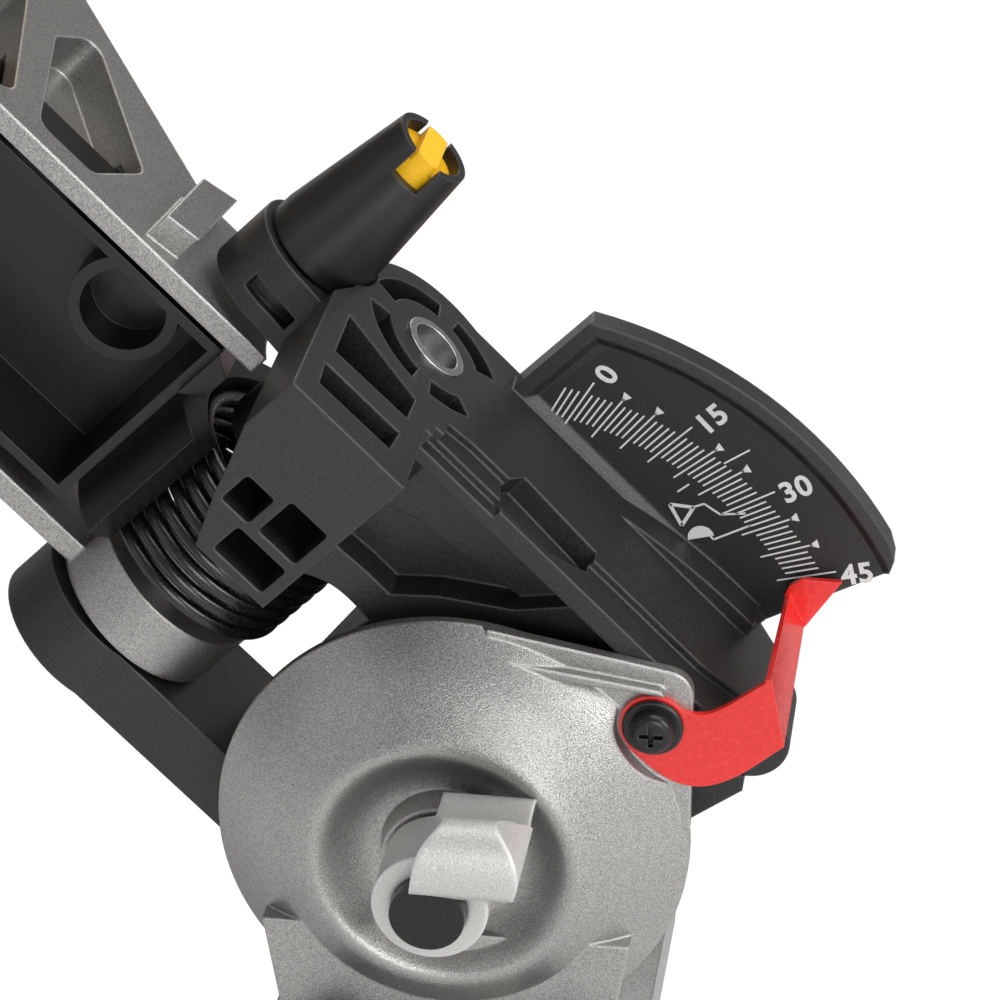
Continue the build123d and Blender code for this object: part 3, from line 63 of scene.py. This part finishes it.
# ---------------------------------------------------------------- materials
def node_of(tree, kind, **values):
    """New node with its plain properties and its inputs set by name."""
    made = tree.nodes.new(kind)
    for key, value in values.items():
        if hasattr(made, key):
            setattr(made, key, value)
        else:
            made.inputs[key].default_value = value
    return made


def noise(tree, coords, scale, detail=2.0, stretch=None):
    """Noise of about 1 / scale metres, optionally stretched along the row's axes."""
    source = coords
    if stretch:
        mapping = node_of(tree, "ShaderNodeMapping")
        mapping.inputs["Scale"].default_value = stretch
        tree.links.new(coords, mapping.inputs["Vector"])
        source = mapping.outputs["Vector"]
    made = node_of(tree, "ShaderNodeTexNoise", Scale=scale, Detail=detail)
    tree.links.new(source, made.inputs["Vector"])
    return made.outputs["Fac"]


def ramp(tree, source, low, high, dark, light):
    """Colour that goes from dark to light as source goes from low to high."""
    made = node_of(tree, "ShaderNodeValToRGB")
    made.color_ramp.elements[0].position = low
    made.color_ramp.elements[1].position = high
    made.color_ramp.elements[0].color = (*dark, 1)
    made.color_ramp.elements[1].color = (*light, 1)
    tree.links.new(source, made.inputs["Fac"])
    return made.outputs["Color"]


def edges(tree, radius):
    """Mask that is light along sharp edges, where the finish paints its edge highlight, with the softened
    normal it comes from.
    """
    soft = node_of(tree, "ShaderNodeBevel", samples=6, Radius=radius)
    plain = node_of(tree, "ShaderNodeNewGeometry")
    dot = node_of(tree, "ShaderNodeVectorMath", operation="DOT_PRODUCT")
    tree.links.new(soft.outputs["Normal"], dot.inputs[0])
    tree.links.new(plain.outputs["Normal"], dot.inputs[1])
    spread = node_of(tree, "ShaderNodeMapRange")
    spread.inputs["From Min"].default_value = 0.995
    spread.inputs["From Max"].default_value = 0.86
    tree.links.new(dot.outputs["Value"], spread.inputs["Value"])
    return spread.outputs["Result"], soft.outputs["Normal"]


BLOTCH_SCALE = 28        # broad colour variation, per metre
COAT_ROUGHNESS = 0.12


def finish(name, dark, light, grain, bump=0.1, grain_size=0.0004, blotch=0.15, metallic=0.0, roughness=0.4,
           rough_spread=0.08, edge_highlight=None, round_edge=0.0006, coat=0.0, stretch=None, detail=3.0):
    """Procedural finish: fine grain, broad colour variation, varied roughness, rounded edges with a painted
    highlight colour along them.

    dark and light are the two ends of the grain's colour, grain how sharply it changes from 0 to 1.
    """
    made = bpy.data.materials.new(name)
    made.use_nodes = True
    tree = made.node_tree
    shader = tree.nodes["Principled BSDF"]
    coords = node_of(tree, "ShaderNodeTexCoord").outputs["Object"]
    fine = noise(tree, coords, 1 / grain_size, detail, stretch)
    broad = noise(tree, coords, BLOTCH_SCALE, 3)
    half = 0.5 - 0.35 * grain
    colour = ramp(tree, fine, half, 1 - half, dark, light)
    shade = ramp(tree, broad, 0.3, 0.7, (1 - blotch,) * 3, (1,) * 3)
    mixed = node_of(tree, "ShaderNodeMix", data_type="RGBA", blend_type="MULTIPLY")
    mixed.inputs["Factor"].default_value = 1.0
    tree.links.new(colour, mixed.inputs[6])
    tree.links.new(shade, mixed.inputs[7])
    colour = mixed.outputs[2]
    edge_highlight_mask, normal = edges(tree, round_edge)
    # painted highlight: the lighter edge colour is mixed into the base colour along sharp edges
    if edge_highlight:
        edge_highlight_mix = node_of(tree, "ShaderNodeMix", data_type="RGBA")
        edge_highlight_mix.inputs[7].default_value = (*edge_highlight, 1)
        tree.links.new(edge_highlight_mask, edge_highlight_mix.inputs["Factor"])
        tree.links.new(colour, edge_highlight_mix.inputs[6])
        colour = edge_highlight_mix.outputs[2]
    tree.links.new(colour, shader.inputs["Base Color"])
    rough = node_of(tree, "ShaderNodeMapRange")
    rough.inputs["To Min"].default_value = roughness - rough_spread
    rough.inputs["To Max"].default_value = roughness + rough_spread
    tree.links.new(fine, rough.inputs["Value"])
    tree.links.new(rough.outputs["Result"], shader.inputs["Roughness"])
    bumps = node_of(tree, "ShaderNodeBump", Strength=bump)
    bumps.inputs["Distance"].default_value = grain_size
    tree.links.new(fine, bumps.inputs["Height"])
    tree.links.new(normal, bumps.inputs["Normal"])
    tree.links.new(bumps.outputs["Normal"], shader.inputs["Normal"])
    shader.inputs["Metallic"].default_value = metallic
    shader.inputs["Coat Weight"].default_value = coat
    shader.inputs["Coat Roughness"].default_value = COAT_ROUGHNESS
    return made


# The edge colours given to the finishes below are painted highlights along sharp edges, lighter than each
# finish's grain.
silver_paint = finish("silver_paint", (0.17, 0.168, 0.162), (0.58, 0.57, 0.555), 0.9, bump=0.3,
                      grain_size=0.00032, blotch=0.06, metallic=0.9, roughness=0.36,
                      edge_highlight=(0.5, 0.5, 0.49), round_edge=0.001, detail=1.0)
pale_casting = finish("pale_casting", (0.4, 0.4, 0.39), (0.66, 0.66, 0.64), 0.7, bump=0.25, grain_size=0.0004,
                      blotch=0.06, metallic=0.4, roughness=0.4, edge_highlight=(0.75, 0.75, 0.74), round_edge=0.0015)
black_paint = finish("black_casting", (0.011, 0.011, 0.0118), (0.019, 0.019, 0.0202), 0.3, bump=0.14,
                     grain_size=0.0007, blotch=0.1, roughness=0.4, rough_spread=0.04,
                     edge_highlight=(0.05, 0.05, 0.052), round_edge=0.0009)
black_plastic = finish("black_plastic", (0.007, 0.007, 0.0076), (0.013, 0.013, 0.0138), 0.5, bump=0.12,
                       grain_size=0.0003, roughness=0.36, rough_spread=0.04, edge_highlight=(0.03, 0.03, 0.032))
# black plastic of the dust chute, made darker than the other black plastic as painted shade for the inside of
# the arm
chute_plastic_painted_shade = finish("chute_plastic_painted_shade", (0.003, 0.003, 0.0034), (0.006, 0.006, 0.0066), 0.3, bump=0.05,
                       grain_size=0.0006, roughness=0.34, edge_highlight=(0.03, 0.03, 0.032), round_edge=0.0004)
soft_grip = finish("soft_grip", (0.01, 0.01, 0.01), (0.022, 0.022, 0.022), 0.6, bump=0.5, grain_size=0.0007,
                   roughness=0.62)
black_oxide = finish("black_oxide", (0.012, 0.012, 0.013), (0.03, 0.03, 0.032), 0.5, bump=0.08,
                     grain_size=0.0003, metallic=0.5, roughness=0.3, edge_highlight=(0.09, 0.09, 0.09),
                     round_edge=0.0004)
spring_steel = finish("spring_steel", (0.004, 0.004, 0.0045), (0.009, 0.009, 0.0095), 0.4, bump=0.04,
                      grain_size=0.0008, roughness=0.28, coat=0.15, round_edge=0.0002)
bright_steel = finish("bright_steel", (0.4, 0.4, 0.4), (0.66, 0.66, 0.67), 0.5, bump=0.12, grain_size=0.0004,
                      metallic=1.0, roughness=0.3, edge_highlight=(0.8, 0.8, 0.8), stretch=(1, 1, 6), round_edge=0.0004)
machined = finish("machined_aluminium", (0.5, 0.5, 0.5), (0.74, 0.74, 0.73), 0.6, bump=0.15,
                  grain_size=0.0005, metallic=1.0, roughness=0.36, edge_highlight=(0.85, 0.85, 0.85),
                  stretch=(0.05, 1, 1))
blade_steel = finish("blade_steel", (0.42, 0.42, 0.43), (0.62, 0.62, 0.63), 0.6, bump=0.08, grain_size=0.0004,
                     metallic=1.0, roughness=0.26, edge_highlight=(0.75, 0.75, 0.75), stretch=(1, 0.2, 1),
                     round_edge=0.0003)
red_paint = finish("red_paint", (0.62, 0.008, 0.006), (0.72, 0.016, 0.011), 0.3, bump=0.05, grain_size=0.0012,
                   blotch=0.05, roughness=0.26, rough_spread=0.04, edge_highlight=(0.85, 0.05, 0.04), coat=0.4,
                   round_edge=0.0004)
yellow_plastic = finish("yellow_plastic", (0.78, 0.42, 0.004), (0.88, 0.5, 0.008), 0.4, bump=0.12,
                        grain_size=0.0004, blotch=0.05, roughness=0.4)
foot_rubber = finish("foot_rubber", (0.015, 0.015, 0.015), (0.03, 0.03, 0.03), 0.5, bump=0.4,
                     grain_size=0.0008, roughness=0.8)
copper = finish("varnished_copper", (0.35, 0.12, 0.04), (0.55, 0.22, 0.07), 0.6, bump=0.6, grain_size=0.0012,
                metallic=0.8, roughness=0.35, stretch=(0.1, 1, 1))
scale_floor = finish("scale_floor", (0.004, 0.0042, 0.0048), (0.0075, 0.0078, 0.0085), 0.3, bump=0.05,
                     grain_size=0.0005, roughness=0.5)
print_white = finish("print_white", (0.52, 0.52, 0.52), (0.68, 0.68, 0.68), 0.5, bump=0.05, grain_size=0.0003,
                     blotch=0.1, roughness=0.6)
print_black = finish("print_black", (0.01, 0.01, 0.01), (0.02, 0.02, 0.02), 0.5, bump=0.05, grain_size=0.0003,
                     roughness=0.6)
clear_guard = finish("clear_guard", (0.72, 0.74, 0.76), (0.8, 0.82, 0.84), 0.2, bump=0.03, grain_size=0.004,
                     blotch=0.04, roughness=0.12, rough_spread=0.04)
glass = clear_guard.node_tree.nodes["Principled BSDF"]
glass.inputs["Transmission Weight"].default_value = 0.85
glass.inputs["IOR"].default_value = 1.3

FINISHES = {
    silver_paint: ("base", "turntable", "rear_hub", "arm", "upper_guard"),
    black_paint: ("trunnion", "gear_case"),
    black_plastic: ("end_cap", "brush_caps", "cord_gland", "trigger", "lock_pin", "detent_lever",
                    "cooling_fan", "fence_knob_left", "fence_knob_right", "carry_handle"),
    chute_plastic_painted_shade: ("dust_chute",),
    soft_grip: ("handle", "mitre_knob"),
    black_oxide: ("pointer_screw", "pointer_washer", "stop_screw", "hub_bolts", "bevel_bolt", "kerf_screws",
                  "pivot_bolt", "arbor_bolt"),
    spring_steel: ("torsion_spring",),
    bright_steel: ("chop_shaft", "bushing_left", "bushing_right", "arbor", "inner_flange", "outer_flange",
                   "drive_gear", "mitre_scale"),
    pale_casting: ("bevel_lever",),
    machined: ("fence_left", "fence_right", "fence_slide_left", "fence_slide_right"),
    blade_steel: ("blade",),
    red_paint: ("bevel_pointer", "kerf_plate_left", "kerf_plate_right"),
    yellow_plastic: ("motor_housing", "lock_pin_insert"),
    foot_rubber: ("feet",),
    copper: ("armature", "field_coils"),
    clear_guard: ("lower_guard",),
}
for material, names in FINISHES.items():
    for name in names:
        for place in nodes[name].material_slots:
            place.material = material


# ---------------------------------------------------------------- printed scales
def stroke(start, end, width):
    """Corners of a straight mark between two points."""
    along = (Vector(end) - Vector(start)).normalized()
    aside = Vector((-along.y, along.x)) * width / 2
    return [Vector(start) - aside, Vector(end) - aside, Vector(end) + aside, Vector(start) + aside]


def polar(radius, angle):
    """Point at a radius and an angle in degrees from the first axis."""
    return Vector((cos(radians(angle)), sin(radians(angle)))) * radius


def outline(points, width, closed=False):
    """Straight marks along a chain of points."""
    ends = points[1:] + points[:1] if closed else points[1:]
    return [stroke(p, q, width) for p, q in zip(points, ends)]


FONT_HEIGHT = 0.70       # height of a digit in a font of size 1


def numerals(text, height, centre, angle):
    """Faces of a printed number, centred, with its baseline turned by angle."""
    font = bpy.data.curves.new("numerals", "FONT")
    font.body = text
    font.align_x = "CENTER"
    font.align_y = "CENTER"
    font.offset = 0.03
    font.space_character = 1.08
    holder = bpy.data.objects.new("numerals", font)
    scene.collection.objects.link(holder)
    mesh = bpy.data.meshes.new_from_object(holder.evaluated_get(bpy.context.evaluated_depsgraph_get()))
    turn = Matrix.Rotation(radians(angle), 2)
    scale = height / FONT_HEIGHT
    faces = [[Vector(centre) + turn @ (mesh.vertices[i].co.xy * scale) for i in face.vertices]
             for face in mesh.polygons]
    bpy.data.objects.remove(holder)
    return faces


def printed(name, faces, place, lift, material, body):
    """Flat print: place takes (a, height) in millimetres on the drawing to the row frame."""
    mesh = bpy.data.meshes.new(name)
    build = bmesh.new()
    for face in faces:
        corners = [build.verts.new(place(point, lift)) for point in face]
        build.faces.new(corners)
    build.to_mesh(mesh)
    build.free()
    piece = bpy.data.objects.new(name, mesh)
    scene.collection.objects.link(piece)
    piece.data.materials.append(material)
    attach(piece, body)
    return piece


def on_plate(point, lift):
    """Place of a point (a, h) on the bevel scale's floor."""
    return HEAD @ Vector((-point.x * MM, lift * MM, point.y * MM))


TICK = 0.42             # width of a degree mark
LEADER = 0.5            # width of a thinner line
MARK_END = 93.7         # outer end of the longest marks
INK = 0.16              # height of the print above the plate
ZERO = 29.5             # direction of the zero mark on the plate, from the operator's left
SKEW = 0.2              # the marks lean against the radius, in degrees for each millimetre


def mark(degree, radius):
    return polar(radius, ZERO - degree + (MARK_END - radius) * SKEW)


scale_marks = []
for degree in range(-3, 46):
    inner = 80.4 if degree % 5 == 0 else 83.0
    outer = MARK_END if degree % 15 == 0 else 92.4 if degree % 5 == 0 else 90.5
    scale_marks.append(stroke(mark(degree, inner), mark(degree, outer), TICK))
    if degree % 15 and degree % 5 == 0:
        tip = mark(degree, 91.6)
        out = (mark(degree, MARK_END) - tip).normalized()
        aside = Vector((-out.y, out.x))
        scale_marks.append([tip, tip + out * 2.2 - aside * 1.15, tip + out * 2.2 + aside * 1.15])
for inner, outer in ((90.6, 97.2), (78.0, 81.3)):
    scale_marks.append(stroke(mark(22.5, inner), mark(22.5, outer), TICK))
for degree in (0, 15, 30, 45):
    spot = mark(degree + 0.8, 97.8 if degree else 96.6)
    lean = (mark(degree, MARK_END) - mark(degree, 83)).angle_signed(Vector((1, 0)))
    scale_marks += numerals(str(degree), 5.0, spot, degrees(lean))
printed("bevel_scale_print", scale_marks, on_plate, INK, print_white, "head")

# generic signs beside the 31.6 and 33.9 degree marks, with their leader lines
triangle = [Vector((73.2, 12.6)), Vector((76.8, 8.4)), Vector((71.5, 6.8))]
signs = outline(triangle, 0.85, closed=True)
signs += outline([Vector((76.6, 8.6)), Vector((79.3, 7.5)), Vector((80.2, 3.1)), mark(31.6, 84.8)], LEADER)
disc = Vector((72.7, 1.6))
signs.append([disc + polar(3.1, -30 + 18 * step) for step in range(11)])
signs += outline([disc + polar(2.2, -30), Vector((74.6, -0.6)), mark(33.9, 83.6)], LEADER)
printed("bevel_scale_signs", signs, on_plate, INK, print_white, "head")

# darker printed floor inside the plate's raised rim
FLOOR_R = 102.8
floor_edge = [polar(FLOOR_R, -17.4 + 1.5 * step) for step in range(32)]
floor_edge += [Vector((70.2, 51.8)), Vector((70.2, 26)), Vector((71.2, 4)), Vector((72.0, -23.6))]
printed("bevel_scale_floor", [floor_edge], on_plate, 0.08, scale_floor, "head")


# mitre scale at the front of the base
SCALE_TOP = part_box("mitre_scale")[1].z
FRONT = 270              # direction of the zero mark, from the operator's right


def on_front(point, lift):
    """Place of a point (x, y) on the mitre scale's top."""
    return Vector((point.x * MM, point.y * MM, SCALE_TOP + lift * MM))


mitre_marks = []
for degree in range(-50, 51):
    outer = 156.0 if degree % 5 == 0 else 152.0
    mitre_marks.append(stroke(polar(147.5, FRONT + degree), polar(outer, FRONT + degree), LEADER))
for degree in (-45, -30, -15, 0, 15, 30, 45):
    mitre_marks += numerals(str(abs(degree)), 5.5, polar(161.0, FRONT + degree + 1.2), degree)
printed("mitre_scale_print", mitre_marks, on_front, 0.08, print_black, "base")


# ---------------------------------------------------------------- floor and lights
def plain(name, colour, roughness):
    """Material of one colour, for the floor."""
    made = bpy.data.materials.new(name)
    made.use_nodes = True
    shader = made.node_tree.nodes["Principled BSDF"]
    shader.inputs["Base Color"].default_value = (*colour, 1)
    shader.inputs["Roughness"].default_value = roughness
    return made


floor_mesh = bpy.data.meshes.new("floor")
FLOOR_HALF = 4
corners = [(x * FLOOR_HALF, y * FLOOR_HALF, 0) for x, y in ((-1, -1), (1, -1), (1, 1), (-1, 1))]
floor_mesh.from_pydata(corners, [], [(0, 1, 2, 3)])
floor = bpy.data.objects.new("floor", floor_mesh)
scene.collection.objects.link(floor)
floor.data.materials.append(plain("floor_pale", (0.86, 0.86, 0.86), 0.7))
floor.location.z = -0.0005


def softbox(name, at, look, size, power):
    """Rectangular lamp at a place, turned to look at another."""
    data = bpy.data.lights.new(name, "AREA")
    data.shape = "RECTANGLE"
    data.size, data.size_y = size
    data.energy = power
    lamp = bpy.data.objects.new(name, data)
    scene.collection.objects.link(lamp)
    lamp.location = at
    lamp.rotation_mode = "QUATERNION"
    lamp.rotation_quaternion = (Vector(look) - Vector(at)).to_track_quat("-Z", "Y")


softbox("overhead", (-0.5, 0.1, 2.0), (0, 0.1, 0.1), (1.4, 1.4), 20)
softbox("rear", (-0.5, 2.2, 0.5), (0, 0.2, 0.15), (1.0, 0.8), 16)
softbox("left_rear", (1.6, 1.6, 1.0), (0, 0.2, 0.15), (1.2, 1.2), 3)
softbox("right_rear", (-1.6, 0.9, 1.1), (0, 0.2, 0.15), (0.9, 1.2), 24)
softbox("front", (0.6, -1.9, 1.3), (0, 0, 0.15), (1.4, 1.2), 14)

world = bpy.data.worlds.new("studio")
scene.world = world
world.use_nodes = True
sky = world.node_tree
backdrop = sky.nodes["Background"]
seen = sky.nodes.new("ShaderNodeBackground")
seen.inputs["Color"].default_value = (1, 1, 1, 1)
seen.inputs["Strength"].default_value = 1.05
backdrop.inputs["Color"].default_value = (1, 1, 1, 1)
backdrop.inputs["Strength"].default_value = 0.28
rays = sky.nodes.new("ShaderNodeLightPath")
either = sky.nodes.new("ShaderNodeMixShader")
sky.links.new(rays.outputs["Is Camera Ray"], either.inputs["Fac"])
sky.links.new(backdrop.outputs[0], either.inputs[1])
sky.links.new(seen.outputs[0], either.inputs[2])
sky.links.new(either.outputs[0], sky.nodes["World Output"].inputs["Surface"])
scene.view_settings.view_transform = "Standard"
